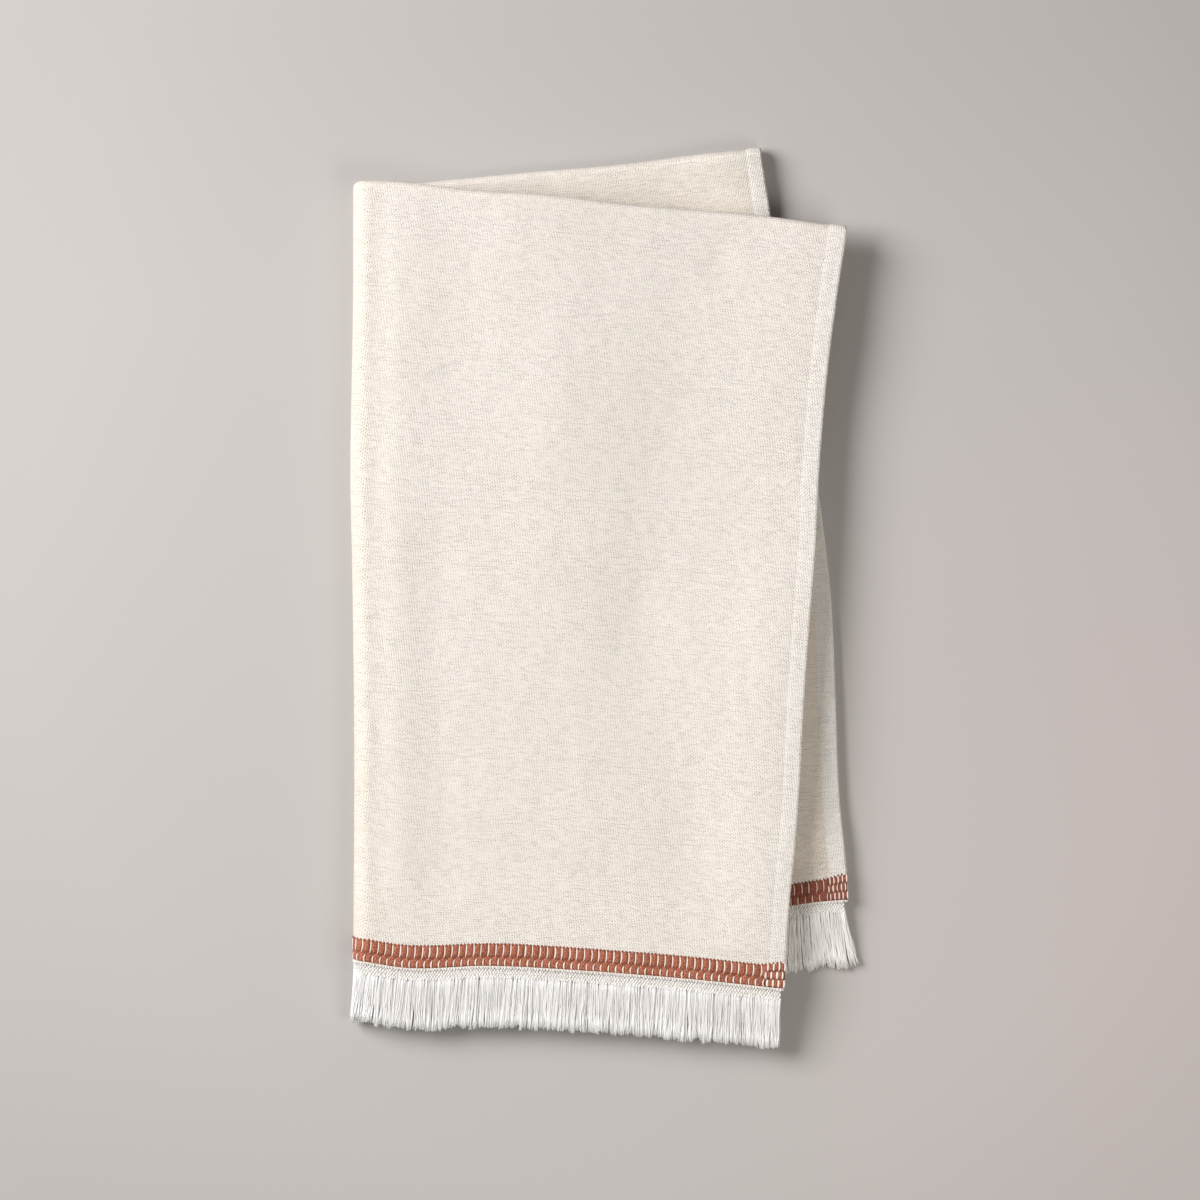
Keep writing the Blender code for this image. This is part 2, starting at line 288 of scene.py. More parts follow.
# The view: straight down, 533 mm across the frame
FRAME_PIXELS = 1200
PIXEL = 0.444 * MM
VIEW_CENTRE = (-0.00247, -0.00021)
VIEW_HEIGHT = 3.0
VIEW_PLANE = 0.010  # the height at which a pixel is PIXEL wide
SENSOR = 36.0


def smooth_step(t):
    t = np.clip(t, 0, 1)
    return t * t * (3 - 2 * t)


def unit(vectors):
    return vectors / np.maximum(np.linalg.norm(vectors, axis=-1, keepdims=True), 1e-12)


def curve(rows, place):
    """A smooth curve through rows of (place, value) in millimetres, level past its ends."""
    places, values = np.array(rows, float).T * MM
    slopes = np.gradient(values, places)
    place = np.clip(place, places[0], places[-1])
    i = np.clip(np.searchsorted(places, place) - 1, 0, len(places) - 2)
    span = places[i + 1] - places[i]
    t = (place - places[i]) / span
    start = values[i] * (1 + 2 * t) + slopes[i] * span * t
    end = values[i + 1] * (3 - 2 * t) - slopes[i + 1] * span * (1 - t)
    return start * (1 - t) ** 2 + end * t**2


def soft_folds(rows, x, y):
    """The height that the ridges and troughs add at a point of a stack."""
    height = np.zeros_like(x)
    for x0, y0, x1, y1, half_width, rise in np.array(rows, float) * MM:
        along_x, along_y = x1 - x0, y1 - y0
        t = ((x - x0) * along_x + (y - y0) * along_y) / (along_x**2 + along_y**2)
        t = np.clip(t, 0, 1)
        off = np.hypot(x - x0 - t * along_x, y - y0 - t * along_y)
        height += rise * np.exp(-((off / half_width) ** 2))
    return height


def ripples(x, y):
    height = np.zeros_like(x)
    for wave_x, wave_y, rise, phase in RIPPLES:
        height += rise * MM * np.sin(2 * math.pi * (wave_x * x + wave_y * y) + phase)
    return height


def layer_gap(down):
    """From a stack's middle to a layer's middle: more at the crosswise fold and at the border."""
    top = (TOP_RADIUS - LAYER_GAP) * np.exp(-np.maximum(down, 0) / TOP_PUFF_LENGTH)
    end = END_PUFF * smooth_step((down - HALF_LENGTH + 2 * END_PUFF_LENGTH) / END_PUFF_LENGTH)
    return LAYER_GAP + top + end


def on_stack(outline, share, down):
    """A stack's point, in its plane: the side edge's x at that height, and the point's y."""
    (_, top_width), (_, end_width) = outline["side"][0], outline["side"][-1]
    inset = TOP_RADIUS + CLOTH / 2
    top = curve(outline["top"], share * top_width * MM) + inset
    end = curve(outline["bottom"], share * end_width * MM)
    g = np.clip(down / HALF_LENGTH, 0, 1)
    y = top + g * (end - top) + np.minimum(down, 0) + np.maximum(down - HALF_LENGTH, 0)
    edge_top = outline["top"][-1][1] * MM + inset
    edge_end = outline["bottom"][-1][1] * MM
    side = curve(outline["side"], edge_top + g * (edge_end - edge_top))
    return side, y


def on_towel(share, along, thickness=CLOTH):
    """Points of the cloth's middle surface, in world space.

    share runs from -1, the back's side edge, over 0, the lengthwise fold, to 1, the front's side
    edge. along is the way from the crosswise fold's apex, + to the outer end, - to the inner one.
    """
    turn = np.clip(along / TOP_RADIUS, -QUARTER, QUARTER)
    past = np.maximum(np.abs(along) - QUARTER * TOP_RADIUS, 0)
    outer_reach = np.interp(share, SHARES, OUTER_REACH)
    reach = np.where(along > 0, outer_reach, np.interp(share, SHARES, INNER_REACH))
    beyond = np.maximum(past - HALF_LENGTH, 0)
    start, full = HEM_PEAK_SHARES
    peak = HEM_PEAK * smooth_step((np.abs(share) - start) / (full - start))
    down = (past - beyond) * reach + beyond - (TOP_RADIUS + peak) * np.cos(turn)

    gap = layer_gap(down)
    centre = SIDE_RADIUS + gap + CLOTH / 2
    front = share > 0
    side_front, y_front = on_stack(FRONT, np.maximum(share, 0), down)
    side_back, y_back = on_stack(BACK, np.maximum(-share, 0), down)
    side = np.where(front, side_front, side_back)
    y = np.where(front, y_front, y_back)

    path = share * (side - centre + QUARTER * SIDE_RADIUS)
    roll = np.clip(path / SIDE_RADIUS, -QUARTER, QUARTER)
    flat = np.abs(path - roll * SIDE_RADIUS)
    radius = SIDE_RADIUS + np.sin(turn) * gap
    x = centre - radius * np.cos(roll) + flat
    z = centre + radius * np.sin(roll)

    lift = curve(EDGE_LIFT, y) * np.abs(share) ** EDGE_LIFT_POWER
    rise_front = soft_folds(FRONT_FOLDS, x, y) + ripples(x, y) + lift
    inner = (1 - np.sin(turn)) / 2
    rise_back = soft_folds(BACK_FOLDS, x, y) * inner
    z += np.where(front, rise_front, rise_back) * smooth_step(flat / RISE_LENGTH)
    z += (thickness - CLOTH) / 2 * np.maximum(-np.sin(roll), 0) * (1 - inner)
    x -= curve(SIDE_BOW, y) * (1 - np.abs(share)) ** 2
    return np.stack([TOP_LEFT[0] + x, TOP_LEFT[1] - y, z], axis=-1)


def widths_at(down):
    """Across the flat cloth, from the skewed lengthwise fold to the front's and the back's edge."""
    front = (TOWEL_WIDTH / 2 - FOLD_OFF_MIDDLE) * math.cos(SKEW) - down * math.sin(SKEW)
    back = (TOWEL_WIDTH / 2 + FOLD_OFF_MIDDLE) * math.cos(SKEW) + down * math.sin(SKEW)
    return front, back


def share_at(across, down):
    """The share of a point of the flat cloth: across is from its middle line, + to the front."""
    front, back = widths_at(down)
    way = (across - FOLD_OFF_MIDDLE) * math.cos(SKEW) - down * math.sin(SKEW)
    return way / np.where(way > 0, front, back)


def across_at(share, down):
    front, back = widths_at(down)
    way = share * np.where(share > 0, front, back)
    return FOLD_OFF_MIDDLE + (way + down * math.sin(SKEW)) / math.cos(SKEW)


def standing(along):
    """What stands on the floor at a place along the cloth: more at the border than elsewhere."""
    from_end = END - np.abs(along)
    slope = smooth_step((BAND + BAND_SLOPE - from_end) / BAND_SLOPE)
    return CLOTH + (BORDER_THICKNESS - CLOTH) * slope


def frame_at(share, along):
    """Points of the cloth's middle, and its unit directions across, and out of its outer face."""
    step = 0.2 * MM
    nudge = step / (TOWEL_WIDTH / 2)
    thickness = standing(along)
    across = on_towel(share + nudge, along, thickness) - on_towel(share - nudge, along, thickness)
    onward = on_towel(share, along + step, thickness) - on_towel(share, along - step, thickness)
    across = unit(across)
    out = unit(np.cross(onward, across))
    return on_towel(share, along, thickness), across, out


def even_share(share, end):
    """The share at which a pattern keeps its pitch where its layer turns at the lengthwise fold."""
    half = TOWEL_WIDTH / 2
    wider = end * (LAYER_GAP + END_PUFF)
    way = np.abs(share) * (half + QUARTER * wider)
    turned = QUARTER * (SIDE_RADIUS + wider)
    path = np.where(way < turned, way * SIDE_RADIUS / (SIDE_RADIUS + wider), way - QUARTER * wider)
    return np.sign(share) * path / half


def at_end(end, across, beyond):
    """As frame_at, from places of the flat cloth at an end.

    across is from its middle line, and beyond is past the end, - on the cloth. The border is
    taller near the side edges.
    """
    taller = 1 + TALLER * smooth_step((np.abs(across) - TOWEL_WIDTH / 2) / TALLER_LENGTH + 1)
    beyond = np.where(beyond < 0, beyond * taller, beyond)
    share = share_at(across, HALF_LENGTH + beyond)
    return frame_at(even_share(share, end), end * (END + beyond))


# Meshes


def mesh_object(name, points, faces, uv, entries, tone=None, entry_of=None):
    """faces is a list of arrays of corners, one for each number of corners."""
    sizes = np.concatenate([np.full(len(f), f.shape[1]) for f in faces])
    corners = np.concatenate([f.ravel() for f in faces]).astype(np.int32)
    mesh = bpy.data.meshes.new(name)
    mesh.vertices.add(len(points))
    mesh.vertices.foreach_set("co", np.asarray(points, np.float32).ravel())
    mesh.loops.add(len(corners))
    mesh.loops.foreach_set("vertex_index", corners)
    mesh.polygons.add(len(sizes))
    mesh.polygons.foreach_set("loop_start", (np.cumsum(sizes) - sizes).astype(np.int32))
    for entry in entries:
        mesh.materials.append(entry)
    if entry_of is not None:
        mesh.polygons.foreach_set("material_index", entry_of.astype(np.int32))
    mesh.update(calc_edges=True)
    layer = mesh.uv_layers.new(name="Flat")
    layer.uv.foreach_set("vector", np.asarray(uv, np.float32)[corners].ravel())
    if tone is not None:
        values = mesh.attributes.new("tone", "FLOAT", "POINT")
        values.data.foreach_set("value", np.asarray(tone, np.float32))
    mesh.validate()
    mesh.shade_smooth()
    made = bpy.data.objects.new(name, mesh)
    bpy.context.scene.collection.objects.link(made)
    return made


class Pieces:
    """Small closed shapes gathered into one mesh. None of them reaches under the floor."""

    def __init__(self):
        self.points, self.uv, self.tone = [], [], []
        self.faces = {}
        self.count = 0

    def add(self, points, uv, tone, faces):
        points = points.reshape(-1, 3)
        points[:, 2] = np.maximum(points[:, 2], 0)
        self.points.append(points)
        self.uv.append(uv.reshape(-1, 2))
        self.tone.append(tone.ravel())
        for array in faces:
            corners = array.shape[-1]
            self.faces.setdefault(corners, []).append(array.reshape(-1, corners) + self.count)
        self.count += len(self.points[-1])

    def made(self, name, entry):
        faces = [np.concatenate(arrays) for arrays in self.faces.values()]
        points, uv, tone = map(np.concatenate, (self.points, self.uv, self.tone))
        return mesh_object(name, points, faces, uv, [entry], tone)

    def add_tubes(self, paths, ups, half_width, half_height, sides, tone):
        """Tubes along paths, an array (tube, point, xyz), with their tops towards ups."""
        tubes, rings = paths.shape[:2]
        onward = unit(np.gradient(paths, axis=1))
        side = unit(np.cross(onward, ups))
        up = np.cross(side, onward)
        half_width = np.broadcast_to(half_width, (tubes, rings))[..., None, None]
        half_height = np.broadcast_to(half_height, (tubes, rings))[..., None, None]
        angle = np.arange(sides) * 2 * math.pi / sides
        across = side[:, :, None] * np.cos(angle)[:, None] * half_width
        above = up[:, :, None] * np.sin(angle)[:, None] * half_height
        points = paths[:, :, None] + across + above

        way = np.linalg.norm(np.diff(paths, axis=1), axis=-1)
        way = np.concatenate([np.zeros((tubes, 1)), np.cumsum(way, axis=1)], axis=1)
        around = np.broadcast_to(angle / (2 * math.pi) * MM, (tubes, rings, sides))
        uv = np.stack([around, np.broadcast_to(way[..., None], around.shape)], axis=-1)
        tone = np.broadcast_to(np.reshape(tone, (len(tone), -1, 1)), around.shape)

        index = np.arange(tubes * rings * sides).reshape(tubes, rings, sides)
        turned = np.roll(index, -1, axis=2)
        quads = [index[:, :-1], index[:, 1:], turned[:, 1:], turned[:, :-1]]
        walls = np.stack(quads, axis=-1)
        caps = np.concatenate([index[:, 0], index[:, -1, ::-1]])
        faces = [walls.reshape(-1, 4), caps]
        self.add(points, uv, tone, faces)


def cloth_lines(half_width, edge_rows, fold_turn):
    """Places from a fold to an edge: close together round the fold and at the edge's own rows."""
    near = fold_turn * np.arange(1, FOLD_STEPS + 1) / FOLD_STEPS
    last = half_width - edge_rows[-1] * MM
    steps = round((last - fold_turn) / CELL)
    middle = np.linspace(fold_turn, last, steps + 1)[1:-1]
    return np.concatenate([near, middle, half_width - np.array(edge_rows[::-1]) * MM])


def make_cloth(entries):
    """The panel, as one closed sheet."""
    hem_rows = [place for place, _ in HEM_PROFILE]
    end_rows = [place for place, _ in END_PROFILE]
    half_stack = TOWEL_WIDTH / 2
    columns = cloth_lines(half_stack, hem_rows, QUARTER * SIDE_RADIUS) / half_stack
    columns = np.concatenate([-columns[::-1], [0], columns])
    rows = cloth_lines(END, end_rows, QUARTER * TOP_RADIUS)
    rows = np.concatenate([-rows[::-1], [0], rows])
    share, along = np.meshgrid(columns, rows, indexing="ij")
    from_side = (1 - np.abs(share)) * half_stack
    from_end = END - np.abs(along)
    thickness = np.minimum(curve(HEM_PROFILE, from_side), curve(END_PROFILE, from_end))
    thickness = np.where(from_end > END_PROFILE[-1][0] * MM, curve(HEM_PROFILE, from_side), thickness)

    _, _, out = frame_at(share, along)
    middle = on_towel(share, along, np.maximum(thickness, standing(along)))
    half = (thickness / 2)[..., None]
    points = np.stack([middle + out * half, middle - out * half])
    across = across_at(share, np.abs(along))
    uv = np.stack([across, along], axis=-1)
    uv = np.stack([uv, uv])

    index = np.arange(points.size // 3).reshape(points.shape[:3])

    def quads(a, b, c, d):
        return np.stack([a, b, c, d], axis=-1).reshape(-1, 4)

    top, under = index
    sheet = quads(top[:-1, :-1], top[:-1, 1:], top[1:, 1:], top[1:, :-1])
    back = quads(under[:-1, :-1], under[1:, :-1], under[1:, 1:], under[:-1, 1:])
    rim = [
        quads(top[0, :-1], under[0, :-1], under[0, 1:], top[0, 1:]),
        quads(top[-1, 1:], under[-1, 1:], under[-1, :-1], top[-1, :-1]),
        quads(top[1:, 0], under[1:, 0], under[:-1, 0], top[:-1, 0]),
        quads(top[:-1, -1], under[:-1, -1], under[1:, -1], top[1:, -1]),
    ]
    faces = np.concatenate([sheet, back, *rim])
    from_end = END - np.abs(uv.reshape(-1, 2)[:, 1])[faces].mean(axis=1)
    in_band = (from_end < BAND) & (from_end > BAND_END)
    points, uv = points.reshape(-1, 3), uv.reshape(-1, 2)
    return mesh_object("cloth", points, [faces], uv, entries, entry_of=in_band)


def add_blocks(pieces, end, centre, half_width, top, bottom, points_to, tone):
    """Pillows through the cloth.

    top and bottom are from the end, at the blocks' sides, and points_to is how much further the
    top and the bottom reach at their middle.
    """
    a, b = np.meshgrid(BLOCK_SIDEWAYS, BLOCK_DOWN, indexing="ij")
    count = len(centre)
    centre = centre[:, None, None]
    peak = 1 - np.abs(a)
    high = -top + points_to[0] * peak
    low = -bottom + points_to[1] * peak
    # The outline's corners are rounded a little.
    narrow = 1 - BLOCK_CORNER * b**8
    across = centre + a * narrow * half_width
    beyond = np.broadcast_to(high + (b + 1) / 2 * (low - high), across.shape)
    point, _, out = at_end(end, across, beyond)
    height = BLOCK_HEIGHT * ((1 - a**4) * (1 - b**6)) ** BLOCK_FULLNESS
    upper = point + out * height[..., None]
    lower = point - out * height[..., None]

    cells = a.shape
    upper_index = np.arange(a.size).reshape(cells)
    lower_index = upper_index.copy()
    inside = np.s_[1:-1, 1:-1]
    inner = lower_index[inside].shape
    lower_index[inside] = a.size + np.arange(inner[0] * inner[1]).reshape(inner)
    lower = lower[:, 1:-1, 1:-1]
    points = np.concatenate([upper.reshape(count, -1, 3), lower.reshape(count, -1, 3)], axis=1)
    flat = np.stack([across, beyond], axis=-1)
    flat_inside = flat[:, 1:-1, 1:-1]
    uv = np.concatenate([flat.reshape(count, -1, 2), flat_inside.reshape(count, -1, 2)], axis=1)

    def quads(index, flip):
        corners = [index[:-1, :-1], index[:-1, 1:], index[1:, 1:], index[1:, :-1]]
        return np.stack(corners[::-1] if flip else corners, axis=-1).reshape(-1, 4)

    faces = np.concatenate([quads(upper_index, end < 0), quads(lower_index, end > 0)])
    faces = faces[None] + (np.arange(count) * points.shape[1])[:, None, None]
    tones = np.broadcast_to(tone[:, None], points.shape[:2])
    pieces.add(points, uv, tones, [faces.reshape(-1, 4)])


def column_lines():
    """Across the cloth: the boundaries of the border's columns between the hems."""
    inner = TOWEL_WIDTH / 2 - HEM_WIDTH
    count = round(2 * inner / BLOCK_PITCH)
    return np.linspace(-inner, inner, count + 1)


def make_border(name, end, draw, entry):
    """The coloured blocks at an end, and the dots along the top of them."""
    pieces = Pieces()
    lines = column_lines()
    pitch = lines[1] - lines[0]
    half = (pitch - BLOCK_GROOVE) / 2
    upper = (lines[:-1] + lines[1:]) / 2
    lower = lines[1:-1]
    high = (BAND, ROW_LINE + ROW_POINT, (0, 2 * ROW_POINT))
    low = (ROW_LINE - ROW_POINT, BAND_END, (-2 * ROW_POINT, 0))
    for centre, (top, bottom, points_to) in ((upper, high), (lower, low)):
        tone = draw.uniform(0, 1, len(centre))
        add_blocks(pieces, end, centre, half, top, bottom, points_to, tone)
    columns = HEM_COLUMNS[end]
    narrow = HEM_WIDTH / columns
    height = (BAND - BAND_END) / HEM_ROWS
    for side in (-1, 1):
        for row in range(HEM_ROWS):
            top = BAND - row * height
            bottom = top - height + HEM_BLOCK_GROOVE
            shift = (row % 2) * HEM_ROW_SHIFT * narrow
            centre = side * (TOWEL_WIDTH / 2 - shift - narrow * (0.5 + np.arange(columns)))
            tone = draw.uniform(0, 1, columns)
            width = narrow / 2 - HEM_BLOCK_GROOVE
            add_blocks(pieces, end, centre, width, top, bottom, (0, 0), tone)
    count = round((TOWEL_WIDTH - 2 * MM) / DOT_PITCH)
    across = (np.arange(count) - (count - 1) / 2)[:, None] * DOT_PITCH
    for face in (-1, 1):
        down = np.linspace(-0.5, 0.5, len(DOT_TAPER)) * DOT_LENGTH
        beyond = -BAND + down + draw.uniform(-1, 1, (count, 1)) * DOT_SPREAD
        width = DOT_HALF_WIDTH * np.array(DOT_TAPER)
        tone = draw.uniform(-0.25, 0.35, count)
        add_stitches(pieces, end, face, across, beyond, DOT_LIFT, width, DOT_HALF_HEIGHT, tone, 5)
    return pieces.made(name, entry)


def add_stitches(pieces, end, face, across, beyond, lift, half_width, half_height, tone, sides=6):
    """Yarns on one face of an end, from their places on the flat cloth."""
    across, beyond = np.broadcast_arrays(across, beyond)
    point, _, out = at_end(end, across, beyond)
    up = out * face
    lift = np.broadcast_to(lift, across.shape)[..., None]
    pieces.add_tubes(point + up * lift, up, half_width, half_height, sides, tone)


def add_hem_stitches(pieces, end, face, draw):
    """The hems' own stitches: more of them, and fat."""
    columns = HEM_COLUMNS[end]
    narrow = HEM_WIDTH / columns
    height = (BAND - BAND_END) / HEM_ROWS
    taper = np.array([0.5, 1, 1, 1, 0.5])
    t = np.linspace(0, 1, len(taper))
    number = columns + 1
    for side in (-1, 1):
        for row in range(HEM_ROWS):
            shift = (row % 2) * HEM_ROW_SHIFT * narrow + HEM_BLOCK_GROOVE
            place = side * (TOWEL_WIDTH / 2 - shift - narrow * np.arange(number))
            bent = HEM_STITCH_BOW * (1 - 4 * t * (1 - t)) * draw.uniform(-1, 1, (number, 1))
            across = place[:, None] + bent
            beyond = -BAND + row * height + height * (0.04 + 0.92 * t)
            width = HEM_STITCH_WIDTH / 2 * narrow * taper * draw.uniform(0.75, 1.15, (number, 1))
            tone = draw.uniform(0.4, 1, number)
            high = HEM_STITCH_HALF_HEIGHT
            add_stitches(pieces, end, face, across, beyond, HEM_STITCH_LIFT, width, high, tone)


def make_stitches(name, end, draw, entry):
    """The white stitches between the blocks."""
    pieces = Pieces()
    lines = column_lines()
    lines = lines[:-1] if end > 0 else lines[1:]
    pitch = lines[1] - lines[0]
    count = len(lines)
    # Down the upper row, slanting over to the middle of a block, and down the lower row
    t = np.array(STITCH_ROW)
    upper = -BAND + STITCH_TOP + t * (BAND - ROW_LINE - STITCH_TOP)
    lower = -ROW_LINE + STITCH_LOWER + t * (ROW_LINE - STITCH_LOWER - BAND_END - STITCH_FOOT)
    beyond = np.concatenate([upper, [-ROW_LINE + STITCH_MIDDLE], lower])
    step = np.concatenate([0 * t, [0.5], 0 * t + 1]) * end * pitch / 2
    thick = np.array((*UPPER_WIDTHS, MIDDLE_WIDTH, *LOWER_WIDTHS))
    # Under the blocks on its way from one row to the other
    dive = np.array((*UPPER_DIVES, MIDDLE_DIVE, *LOWER_DIVES)) * MM
    bow = np.concatenate([4 * t * (1 - t), [0], -4 * t * (1 - t)])
    high = STITCH_HEIGHT / 2 * thick
    lift = STITCH_LIFT - dive
    for face in (-1, 1):
        bent = bow * end * (STITCH_BOW + draw.uniform(-1, 1, (count, 1)) * STITCH_BOW_SPREAD)
        across = lines[:, None] + step + bent + draw.uniform(-1, 1, (count, 1)) * STITCH_SPREAD
        width = STITCH_WIDTHS[end] / 2 * thick * draw.uniform(0.8, 1.15, (count, 1))
        tone = draw.uniform(0, 1, count)
        add_stitches(pieces, end, face, across, beyond, lift, width, high, tone)
        add_hem_stitches(pieces, end, face, draw)
    return pieces.made(name, entry)


def make_header(name, end, draw, entry):
    """The fringe's header: lines of slanting stitches on a strip, the first on the cloth's end."""
    pieces = Pieces()
    half = TOWEL_WIDTH / 2 - HEADER_INSET
    across = np.linspace(-1, 1, HEADER_POINTS) * half
    middle = np.full((1, HEADER_POINTS), HEADER_GAP + HEADER / 2)
    point, _, out = at_end(end, across[None], middle)
    pieces.add_tubes(point, out, HEADER / 2, STRIP_HALF_HEIGHT, 10, np.array([STRIP_TONE]))
    count = round(2 * half / NET_PITCH)
    places = ((np.arange(count) + 0.5) / count * 2 - 1) * half
    line_height = HEADER / NET_LINES
    taper = np.array(NET_TAPER)
    t = np.linspace(-0.5, 0.5, len(taper))
    for face in (-1, 1):
        for line in range(-1, NET_LINES):
            lift = NET_LIFT if line >= 0 else np.array(END_NET_LIFTS) * MM
            lean = (1 if line % 2 else -1) * NET_LEAN
            offset = (line % 2) * NET_PITCH / 2
            spread = draw.uniform(-1, 1, (count, 1)) * NET_SPREAD
            across = np.clip(places[:, None] + offset + lean * t + spread, -half, half)
            beyond = HEADER_GAP + line_height * (line + 0.5 + NET_LENGTH * t)
            width = NET_HALF_WIDTH * taper * draw.uniform(0.75, 1.15, (count, 1))
            tone = draw.uniform(0.0, 1, count)
            high = NET_HALF_HEIGHT
            add_stitches(pieces, end, face, across, beyond, lift, width, high, tone, 4)
    return pieces.made(name, entry)


def make_fringe(name, end, draw, entry):
    """The loose yarns beyond the header."""
    pieces = Pieces()
    half = TOWEL_WIDTH / 2 - HEADER_INSET
    root = ((np.arange(YARNS) + draw.uniform(0, 1, YARNS)) / YARNS * 2 - 1) * half
    clumps = round(TOWEL_WIDTH / CLUMP_PITCH)
    centres = (np.arange(clumps) + draw.uniform(0.15, 0.85, clumps)) / clumps - 0.5
    centres = centres * TOWEL_WIDTH
    clump = np.abs(root[:, None] - centres[None]).argmin(axis=1)
    reach = draw.uniform(0.95, 1.03, clumps)
    gather = draw.uniform(0.0, CLUMP_GATHER, YARNS)
    lean = draw.normal(0, 1, YARNS) * YARN_LEAN
    for wave_length, far, phase in TIP_WAVES:
        lean += far * MM * np.sin(2 * math.pi * root / (wave_length * MM) + phase)

    t = np.linspace(0, 1, YARN_POINTS)
    start = HEADER_GAP + HEADER - draw.uniform(0.2, 1.7, YARNS) * MM
    length = STRAND_LENGTHS[end] * reach[clump] * draw.uniform(0.94, 1.04, YARNS)
    beyond = start[:, None] + (HEADER_GAP + HEADER - start + length)[:, None] * t
    base = root[:, None] + 0 * t
    point, across, out = at_end(end, base, beyond)

    pull = (centres[clump] - root) * gather
    sideways = pull[:, None] * t**2 + lean[:, None] * t**1.6
    wave = draw.uniform(0.1, 0.42, YARNS) * MM
    turns = draw.uniform(0.7, 1.8, YARNS)
    phase = draw.uniform(0, 2 * math.pi, YARNS)
    turn = 2 * math.pi * turns[:, None] * t
    sideways += (wave[:, None] * np.sin(turn + phase[:, None])) * t**0.5
    height = draw.uniform(-1, 1, YARNS)[:, None] * YARN_DEPTH * (1 + 1.2 * t)
    height = height + YARN_ROLL * np.sin(turn + 2 * phase[:, None]) * t
    height = height + np.sign(height[:, :1]) * ROOT_RISE * (1 - t) ** 4
    point = point + across * sideways[..., None] + out * height[..., None]

    from_fold = share_at(root, HALF_LENGTH)[:, None] * TOWEL_WIDTH / 2 / FAN_WIDTH
    from_edge = from_fold + TOWEL_WIDTH / 2 / FAN_WIDTH
    side_fan = SIDE_FAN * np.exp(-from_edge) * t**FAN_POWER
    fold_flare = FOLD_FLARE * np.exp(-(from_fold**2)) * t
    point[..., 0] += side_fan - fold_flare
    floor = 2 * YARN_RADIUS
    droop = BACK_DROOP + (FRONT_DROOP - BACK_DROOP) * smooth_step(from_fold + 1)
    point[..., 2] -= np.maximum(point[..., 2] - floor, 0) * droop * smooth_step(t)
    point[..., 2] = np.maximum(point[..., 2], YARN_RADIUS)
    radius = YARN_RADIUS * draw.uniform(0.8, 1.2, (YARNS, 1)) * np.interp(t, *YARN_TAPER)
    # The tone holds painted shade at the roots and a painted highlight at the tips
    tone = draw.uniform(0, 1, (YARNS, 1)) - ROOT_SHADE[end] * (1 - t) ** 1.5 + TIP_HIGHLIGHT * t**4
    pieces.add_tubes(point, out, radius, radius, YARN_SIDES, tone)
    return pieces.made(name, entry)


def make_loops(entry, draw):
    """The small loops where the weft turns, along both side edges."""
    pieces = Pieces()
    count = round(2 * (END - BAND) / LOOP_PITCH)
    along = (np.arange(count) - (count - 1) / 2) * LOOP_PITCH
    t = np.linspace(-0.5, 0.5, len(LOOP_TAPER))
    for side in (-1, 1):
        spread = draw.uniform(-1, 1, (count, 1)) * LOOP_SPREAD
        way = along[:, None] + spread + LOOP_PITCH * LOOP_LENGTH * t
        share = np.full_like(way, side * (1 - LOOP_INSET / (TOWEL_WIDTH / 2)))
        point, across, out = frame_at(share, way)
        fat = np.array(LOOP_TAPER) * draw.uniform(0.85, 1.15, (count, 1))
        path = point + across * (side * LOOP_BOW * (1 - (2 * t) ** 2))[None, :, None]
        width, high = LOOP_HALF_WIDTH * fat, LOOP_HALF_HEIGHT * fat
        pieces.add_tubes(path, out, width, high, 6, draw.uniform(0, 1, count))
    return pieces.made("edge_loops", entry)


# Materials


